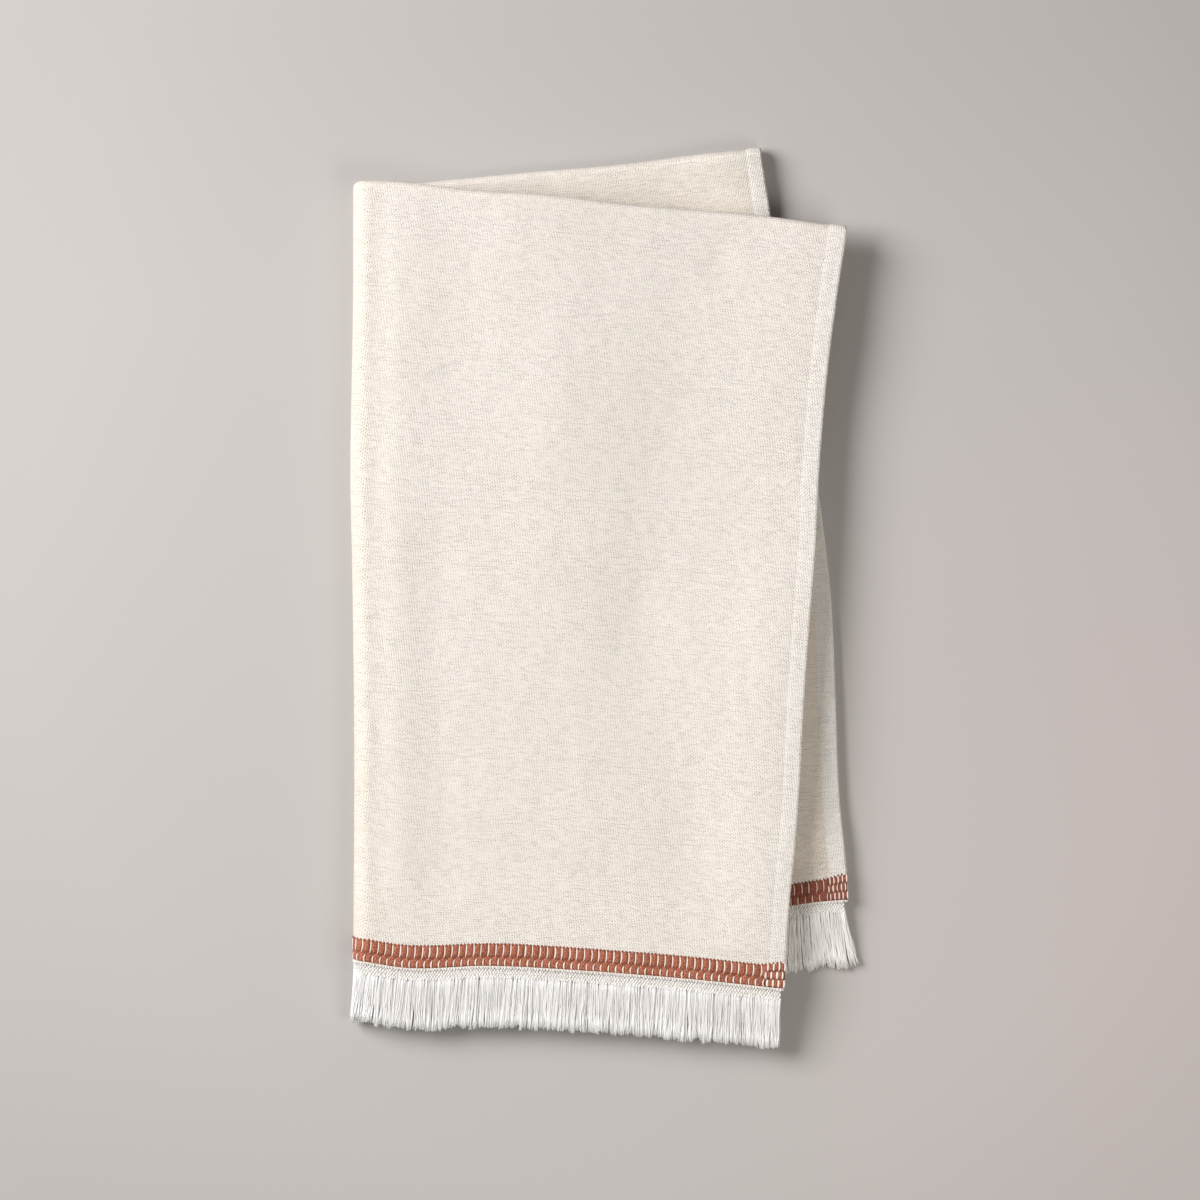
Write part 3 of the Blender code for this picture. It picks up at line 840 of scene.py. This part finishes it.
class Shade:
    """A material and short calls for its nodes."""

    def __init__(self, name, roughness, sheen=0.0):
        self.material = bpy.data.materials.new(name)
        self.material.use_nodes = True
        self.tree = self.material.node_tree
        self.shader = self.tree.nodes["Principled BSDF"]
        self.shader.inputs["Roughness"].default_value = roughness
        self.shader.inputs["Specular IOR Level"].default_value = 0.2
        self.shader.inputs["Sheen Weight"].default_value = sheen
        self.shader.inputs["Sheen Roughness"].default_value = 0.6

    def add(self, kind, settings=None, **inputs):
        """A node. Its inputs go by their names, or by i and their number."""
        made = self.tree.nodes.new("ShaderNode" + kind)
        for key, value in (settings or {}).items():
            setattr(made, key, value)
        for key, value in inputs.items():
            numbered = key[0] == "i" and key[1:].isdigit()
            socket = made.inputs[int(key[1:])] if numbered else made.inputs[key]
            if isinstance(value, bpy.types.NodeSocket):
                self.tree.links.new(value, socket)
            else:
                socket.default_value = value
        return made

    def math(self, operation, a, b=0.0, c=0.0):
        return self.add("Math", {"operation": operation}, i0=a, i1=b, i2=c).outputs[0]

    def noise(self, vector, scale, detail=2.0, roughness=0.5):
        """Noise with so many waves for each metre, or a pair of them for long or wide spots."""
        if isinstance(scale, tuple):
            stretch = {"vector_type": "POINT"}
            vector = self.add("Mapping", stretch, Vector=vector, Scale=(*scale, 1.0)).outputs[0]
            scale = 1.0
        settings = {"Vector": vector, "Scale": scale, "Detail": detail, "Roughness": roughness}
        return self.add("TexNoise", None, **settings).outputs[0]

    def ramp(self, value, stops):
        made = self.add("ValToRGB", None, Fac=value)
        elements = made.color_ramp.elements
        for element, (place, colour) in zip(elements, stops):
            element.position = place
            element.color = (*colour, 1)
        for place, colour in stops[2:]:
            elements.new(place).color = (*colour, 1)
        return made.outputs["Color"]

    def range(self, value, low, high, to_low, to_high):
        """The value moved from low...high to to_low...to_high, and held there past the ends."""
        ends = {"From Min": low, "From Max": high, "To Min": to_low, "To Max": to_high}
        return self.add("MapRange", {"clamp": True}, Value=value, **ends).outputs[0]

    def mix(self, factor, a, b):
        """The colour a, moved towards b by the factor."""
        made = self.add("Mix", {"data_type": "RGBA"})
        for socket, given in ((made.inputs[0], factor), (made.inputs[6], a), (made.inputs[7], b)):
            if isinstance(given, bpy.types.NodeSocket):
                self.tree.links.new(given, socket)
            elif isinstance(given, tuple):
                socket.default_value = (*given, 1)
            else:
                socket.default_value = given
        return made.outputs[2]

    def flat(self):
        """The place on the flat cloth, or round and along a yarn, in metres."""
        return self.add("UVMap", {"uv_map": "Flat"}).outputs[0]

    def finish(self, colour, height=None, depth=0.0, strength=1.0):
        self.tree.links.new(colour, self.shader.inputs["Base Color"])
        if height is not None:
            bump = self.add("Bump", None, Height=height, Distance=depth, Strength=strength)
            self.tree.links.new(bump.outputs[0], self.shader.inputs["Normal"])
        return self.material


CREAM = (0.97, 0.887, 0.82)
# Painted highlight on the weave's standing pebbles
PEBBLE_HIGHLIGHT_CREAM = (1.0, 0.985, 0.96)
# Painted shade in the weave's low places and broken lines, and in the inner half's specks
WEAVE_SHADE_CREAM = (0.68, 0.575, 0.51)
CREAM_WARM = (0.86, 0.77, 0.67)
# Painted shade past the crosswise fold and along the lengthwise fold
FOLD_SHADE_CREAM = (0.81, 0.735, 0.62)
# Painted light: the inner half lighter and warmer, standing in for bounce light in its shade
INNER_BOUNCE_CREAM = (1.0, 0.90, 0.80)
HEM_CREAM = (0.98, 0.94, 0.905)
WARP_PITCH = 0.75 * MM
WEFT_PITCH = 0.76 * MM
YARN_WANDER = (0.35 * MM, 0.2 * MM, 0)
WEAVE_DEPTH = 0.43 * MM
# Noise, in waves for each metre
WANDER_WAVES = 210.0
CLEAR_WAVES = 260.0
FAT_WAVES = 900.0
ROW_WAVES = (190.0, 1350.0)
COLUMN_WAVES = (1350.0, 230.0)
FIBRE_WAVES = (1800.0, 3000.0)
BROAD_WAVES = 18.0
# Where a colour begins to change along the towel, and where it has: painted shade past the crosswise
# fold, painted light and shade on the half that ends inside, and the lighter hems near that fold
TOP_FOLD_SHADE = (-12 * MM, 6 * MM)
INNER_LIGHT_AND_SHADE = (-220 * MM, -100 * MM)
HEM_TINT = (-30 * MM, 0.0)
# Painted shade along the lengthwise fold
LENGTHWISE_FOLD_SHADE = (4 * MM, 16 * MM)  # from the lengthwise fold
HEM_LINE = (0.5 * MM, 0.3 * MM)  # the hem's edge, from its width inwards and outwards


def cloth_material():
    """Plain weave in soft, uneven yarn: every other crossing stands up as a pebble, more clearly
    in some places than in others, with broken lines between the rows and the columns."""
    shade = Shade("cloth_weave", 0.92, sheen=0.05)
    flat = shade.flat()
    wander = shade.add("TexNoise", None, Vector=flat, Scale=WANDER_WAVES, Detail=2.0)
    wander = wander.outputs["Color"]
    adding = {"operation": "MULTIPLY_ADD"}
    moved = shade.add("VectorMath", adding, i0=wander, i1=YARN_WANDER, i2=flat).outputs[0]
    place = shade.add("SeparateXYZ", None, Vector=moved)
    warp = shade.math("SINE", shade.math("MULTIPLY", place.outputs[0], math.pi / WARP_PITCH))
    weft = shade.math("SINE", shade.math("MULTIPLY", place.outputs[1], math.pi / WEFT_PITCH))

    # The yarn on top at a crossing, and the one that dives there
    crossing = shade.math("MULTIPLY", warp, weft)
    pebble = shade.math("POWER", shade.math("MAXIMUM", crossing, 0.0), 1.5)
    dived = shade.math("MAXIMUM", shade.math("MULTIPLY", crossing, -1.0), 0.0)
    under = shade.math("POWER", dived, 0.7)
    clear = shade.range(shade.noise(flat, CLEAR_WAVES), 0.38, 0.6, 0.75, 1.15)
    fat = shade.range(shade.noise(flat, FAT_WAVES, 1.0), 0.38, 0.62, 0.65, 1.2)
    standing = shade.math("MULTIPLY", shade.math("MULTIPLY", pebble, clear), fat)

    # The broken lines
    rows = shade.range(shade.noise(flat, ROW_WAVES, 1.0), 0.46, 0.62, 0.0, 1.0)
    columns = shade.range(shade.noise(flat, COLUMN_WAVES, 1.0), 0.5, 0.64, 0.0, 1.0)
    between_rows = shade.range(shade.math("ABSOLUTE", weft), 0.0, 0.6, 1.0, 0.0)
    between_columns = shade.range(shade.math("ABSOLUTE", warp), 0.0, 0.5, 1.0, 0.0)
    row_line = shade.math("MULTIPLY", between_rows, rows)
    column_line = shade.math("MULTIPLY", between_columns, columns)

    fibre = shade.noise(flat, FIBRE_WAVES)
    height = shade.math("ADD", standing, shade.math("MULTIPLY", under, 0.4))
    height = shade.math("SUBTRACT", height, shade.math("MULTIPLY", row_line, 0.28))
    height = shade.math("SUBTRACT", height, shade.math("MULTIPLY", column_line, 0.12))
    height = shade.math("ADD", height, shade.math("MULTIPLY", fibre, 0.25))

    # Painted highlight on the standing pebbles, and painted shade in the broken lines and the low
    # places
    colour = shade.mix(shade.range(standing, 0.0, 0.9, 0.0, 1.0), CREAM, PEBBLE_HIGHLIGHT_CREAM)
    colour = shade.mix(shade.math("MULTIPLY", row_line, 0.2), colour, WEAVE_SHADE_CREAM)
    colour = shade.mix(shade.math("MULTIPLY", column_line, 0.12), colour, WEAVE_SHADE_CREAM)
    groove_shade = shade.range(shade.math("ADD", pebble, under), 0.0, 0.5, 0.14, 0.0)
    colour = shade.mix(shade.math("MULTIPLY", groove_shade, clear), colour, WEAVE_SHADE_CREAM)
    broad = shade.range(shade.noise(flat, BROAD_WAVES), 0.42, 0.65, 0.0, 0.15)
    colour = shade.mix(broad, colour, CREAM_WARM)

    # Painted shade, warmer and darker, past the crosswise fold on the inner half; towards the inner
    # end, painted light, lighter and warmer, with painted shade in deeper spots
    apart = shade.add("SeparateXYZ", None, Vector=flat)
    across, along = apart.outputs[0], apart.outputs[1]
    colour = shade.mix(shade.range(along, *TOP_FOLD_SHADE, 0.5, 0.0), colour, FOLD_SHADE_CREAM)
    # Painted light on the inner half
    inner = shade.range(along, *INNER_LIGHT_AND_SHADE, 1.0, 0.0)
    colour = shade.mix(inner, colour, INNER_BOUNCE_CREAM)
    # Painted shade in the inner half's specks, where the bump shows little in shade
    speck_shade = shade.range(standing, 0.0, 0.6, 0.2, 0.0)
    speck_shade = shade.math("ADD", speck_shade, shade.math("MULTIPLY", row_line, 0.35))
    colour = shade.mix(shade.math("MULTIPLY", speck_shade, inner), colour, WEAVE_SHADE_CREAM)

    # Painted shade along the lengthwise fold, which runs askew: warmer and darker
    length = shade.math("ABSOLUTE", along)
    fold = shade.math("MULTIPLY_ADD", length, math.tan(SKEW), FOLD_OFF_MIDDLE)
    from_fold = shade.math("ABSOLUTE", shade.math("SUBTRACT", across, fold))
    colour = shade.mix(shade.range(from_fold, *LENGTHWISE_FOLD_SHADE, 0.55, 0.0), colour, FOLD_SHADE_CREAM)

    # Lighter on the hems
    hem_start = TOWEL_WIDTH / 2 - HEM_WIDTH
    line = (hem_start - HEM_LINE[0], hem_start + HEM_LINE[1])
    on_hem = shade.range(shade.math("ABSOLUTE", across), *line, 0.0, 1.0)
    hem_share = shade.range(along, *HEM_TINT, 0.75, 0.4)
    colour = shade.mix(shade.math("MULTIPLY", on_hem, hem_share), colour, HEM_CREAM)
    return shade.finish(colour, height, WEAVE_DEPTH, 0.9)


RUSTS = [(0.0, (0.36, 0.10, 0.055)), (0.45, (0.50, 0.155, 0.075)), (1.0, (0.55, 0.165, 0.125))]
RUST_ORANGE = (0.60, 0.22, 0.085)
RUST_PINK = (0.78, 0.36, 0.24)
# Painted shade in the rust yarn's fibre grooves
RUST_GROOVE_SHADE = (0.22, 0.05, 0.03)
RUST_GRAIN = (0.20, 0.05, 0.03)
# Painted shade: the inner end's border goes half way to this colour; the border's ground does too
RUST_DARK = (0.13, 0.03, 0.02)
RUST_DEPTH = 0.3 * MM


def rust_material(name, darker):
    """Rust yarn, each block a little different by its tone, with dark and light fibres."""
    shade = Shade(name, 0.85, sheen=0.1)
    flat = shade.flat()
    tone = shade.add("Attribute", {"attribute_name": "tone"}).outputs["Fac"]
    fibre = shade.noise(flat, (3200.0, 900.0), 3.0, 0.65)
    patch = shade.noise(flat, 420.0)
    grain = shade.noise(flat, (1900.0, 1500.0), 1.0)
    colour = shade.ramp(tone, RUSTS)
    colour = shade.mix(shade.range(patch, 0.35, 0.65, 0.0, 0.45), colour, RUST_ORANGE)
    # Painted shade where the fibre bump is low
    colour = shade.mix(shade.range(fibre, 0.35, 0.65, 0.7, 0.0), colour, RUST_GROOVE_SHADE)
    colour = shade.mix(shade.range(grain, 0.36, 0.5, 0.6, 0.0), colour, RUST_GRAIN)
    colour = shade.mix(shade.range(grain, 0.52, 0.66, 0.0, 0.6), colour, RUST_PINK)
    # darker: how far towards RUST_DARK; for the inner end's border this is painted shade
    colour = shade.mix(darker, colour, RUST_DARK)
    return shade.finish(colour, fibre, RUST_DEPTH, 0.8)


# Each white yarn: the colour at tone 1 and at tone 0. Under that it darkens to SHADED by -2.
STITCH_YARN = {
    1: ("stitch_white", (0.97, 0.87, 0.79), (0.92, 0.75, 0.66)),
    # The inner end's stitches are darker and pinker: painted shade
    -1: ("stitch_white_inner_shaded", (0.92, 0.76, 0.69), (0.84, 0.60, 0.52)),
}
FRINGE_YARN = {
    1: ("fringe_white", (1.0, 0.98, 0.975), (0.94, 0.915, 0.91)),
    -1: ("fringe_white_inner", (1.0, 0.97, 0.95), (0.95, 0.92, 0.89)),
}
NET_YARN = {
    1: ("header_white", (1.0, 0.97, 0.945), (0.93, 0.88, 0.85)),
    -1: ("header_white_inner", (1.0, 0.97, 0.94), (0.96, 0.92, 0.88)),
}
EDGE_YARN = ("edge_white", (0.92, 0.89, 0.83), (0.84, 0.79, 0.71))
SHADED = 0.6  # share of the colour at tone 0
TURNS_ROUND = 2 / MM  # a ply's ridges for each metre round the yarn, as its places are given
TURNS_ALONG = 1.1 / MM
YARN_FIBRE_WAVES = (2500.0, 700.0)
PLY_DEPTH = 0.08 * MM


def yarn_material(name, light, deep):
    """White yarn with a slanting twist."""
    shade = Shade(name, 0.9, sheen=0.15)
    flat = shade.flat()
    tone = shade.add("Attribute", {"attribute_name": "tone"}).outputs["Fac"]
    place = shade.add("SeparateXYZ", None, Vector=flat)
    # The twist runs round the yarn as it goes along.
    round_it = shade.math("MULTIPLY", place.outputs[0], TURNS_ROUND)
    along_it = shade.math("MULTIPLY", place.outputs[1], TURNS_ALONG)
    twist = shade.math("MULTIPLY", shade.math("ADD", round_it, along_it), math.pi)
    ply = shade.math("ABSOLUTE", shade.math("SINE", twist))
    fibre = shade.noise(flat, YARN_FIBRE_WAVES)
    height = shade.math("ADD", ply, shade.math("MULTIPLY", fibre, 0.5))
    shaded = tuple(SHADED * part for part in deep)
    colour = shade.mix(shade.range(tone, 0.0, 1.0, 0.0, 1.0), deep, light)
    colour = shade.mix(shade.range(tone, -2.0, 0.0, 1.0, 0.0), colour, shaded)
    # Painted shade where the fibre bump is low
    colour = shade.mix(shade.range(fibre, 0.35, 0.65, 0.25, 0.0), colour, deep)
    return shade.finish(colour, height, PLY_DEPTH, 0.6)


FLOOR_GREY = (0.532, 0.505, 0.490)
FLOOR_PINK = (0.548, 0.494, 0.490)
FLOOR_GRAIN = (0.45, 0.43, 0.41)
# Painted shade in the floor's corners and at its top
FLOOR_SHADE = (0.25, 0.235, 0.23)
# Where on the floor a change begins, and where it is in full
PINK_RIGHT = (0.02, 0.22)
PINK_LOW = (0.18, -0.02)
SHADE_FAR = (0.26, 0.36)  # from the middle
SHADE_TOP = (0.13, 0.25)


def floor_material():
    """Plain and matt, pinker to the lower right, with painted shade in the corners and at the top."""
    shade = Shade("floor_plain", 0.85)
    place = shade.add("TexCoord").outputs["Object"]
    apart = shade.add("SeparateXYZ", None, Vector=place)
    right = shade.range(apart.outputs[0], *PINK_RIGHT, 0.0, 1.0)
    low = shade.range(apart.outputs[1], *PINK_LOW, 0.0, 1.0)
    grain = shade.noise(place, 900.0)
    colour = shade.mix(shade.math("MULTIPLY", right, low), FLOOR_GREY, FLOOR_PINK)
    colour = shade.mix(shade.range(grain, 0.3, 0.7, 0.0, 0.05), colour, FLOOR_GRAIN)
    # Painted shade towards the corners and the top
    far = shade.add("VectorMath", {"operation": "LENGTH"}, i0=place).outputs["Value"]
    corner_shade = shade.range(far, *SHADE_FAR, 0.0, 0.12)
    top = shade.range(apart.outputs[1], *SHADE_TOP, 0.0, 0.09)
    colour = shade.mix(shade.math("MAXIMUM", corner_shade, top), colour, FLOOR_SHADE)
    return shade.finish(colour)


# The stage

FLOOR_REACH = 12.0

# The big lamp at the upper left, and the weak warm one at the lower right
KEY = dict(watts=37.8, size=1.15, colour=(1, 1, 1))
KEY_DISTANCE = 1.7
KEY_ELEVATION = math.radians(39)
KEY_TURN = math.radians(22.9)  # from straight left towards the top
CARD = dict(watts=2.2, size=0.5, colour=(1, 0.985, 0.91))
CARD_PLACE = (0.44, -0.30, 0.654)
AMBIENT = 0.125  # the plain light from all round
AMBIENT_COLOUR = (1.0, 0.985, 0.94)


def add_lamp(name, place, watts, size, colour):
    lamp = bpy.data.lights.new(name, "AREA")
    lamp.shape = "DISK"
    lamp.size = size
    lamp.energy = watts
    lamp.color = colour
    made = bpy.data.objects.new(name, lamp)
    made.location = place
    made.rotation_euler = (-made.location).to_track_quat("-Z", "Y").to_euler()
    made.visible_camera = False
    bpy.context.scene.collection.objects.link(made)


def make_stage():
    mesh = bpy.data.meshes.new("floor")
    corners = [(x * FLOOR_REACH, y * FLOOR_REACH, 0) for x, y in ((-1, -1), (1, -1), (1, 1), (-1, 1))]
    mesh.from_pydata(corners, [], [(0, 1, 2, 3)])
    floor = bpy.data.objects.new("floor", mesh)
    mesh.materials.append(floor_material())
    bpy.context.scene.collection.objects.link(floor)

    level = KEY_DISTANCE * math.cos(KEY_ELEVATION)
    high = KEY_DISTANCE * math.sin(KEY_ELEVATION)
    add_lamp("key", (-level * math.cos(KEY_TURN), level * math.sin(KEY_TURN), high), **KEY)
    add_lamp("card", CARD_PLACE, **CARD)

    world = bpy.data.worlds.new("studio")
    world.use_nodes = True
    sky = world.node_tree.nodes["Background"]
    sky.inputs["Color"].default_value = (*AMBIENT_COLOUR, 1)
    sky.inputs["Strength"].default_value = AMBIENT
    bpy.context.scene.world = world

    camera = bpy.data.cameras.new("camera")
    camera.sensor_width = SENSOR
    camera.lens = SENSOR * (VIEW_HEIGHT - VIEW_PLANE) / (FRAME_PIXELS * PIXEL)
    camera.clip_end = 100
    view = bpy.data.objects.new("camera", camera)
    view.location = (*VIEW_CENTRE, VIEW_HEIGHT)
    bpy.context.scene.collection.objects.link(view)
    bpy.context.scene.camera = view
    bpy.context.scene.view_settings.view_transform = "Standard"
    bpy.context.scene.view_settings.look = "None"


def main():
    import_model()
    make_stage()

    ground = rust_material("border_ground", 0.5)
    cloth = make_cloth([cloth_material(), ground])
    draw = np.random.default_rng(11)
    loops = make_loops(yarn_material(*EDGE_YARN), draw)
    # The inner end's border is painted darker: painted shade
    rusts = {1: rust_material("border_rust", 0.05), -1: rust_material("border_rust_inner_shaded", 0.5)}
    made = {"cloth": [cloth, loops], "border": [], "fringe": []}
    for name, end in (("outer", 1), ("inner", -1)):
        yarns = (STITCH_YARN, NET_YARN, FRINGE_YARN)
        white, net, loose = (yarn_material(*yarn[end]) for yarn in yarns)
        made["border"].append(make_border(f"border_{name}", end, draw, rusts[end]))
        made["border"].append(make_stitches(f"border_stitches_{name}", end, draw, white))
        made["fringe"].append(make_header(f"header_{name}", end, draw, net))
        fringe = make_fringe(f"fringe_yarns_{name}", end, draw, loose)
        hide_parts(f"fringe_{name}")
        made["fringe"].append(fringe)
    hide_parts("towel")
    for slot, pieces in made.items():
        for piece in pieces:
            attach(piece, "root")

    bpy.context.view_layer.update()


main()
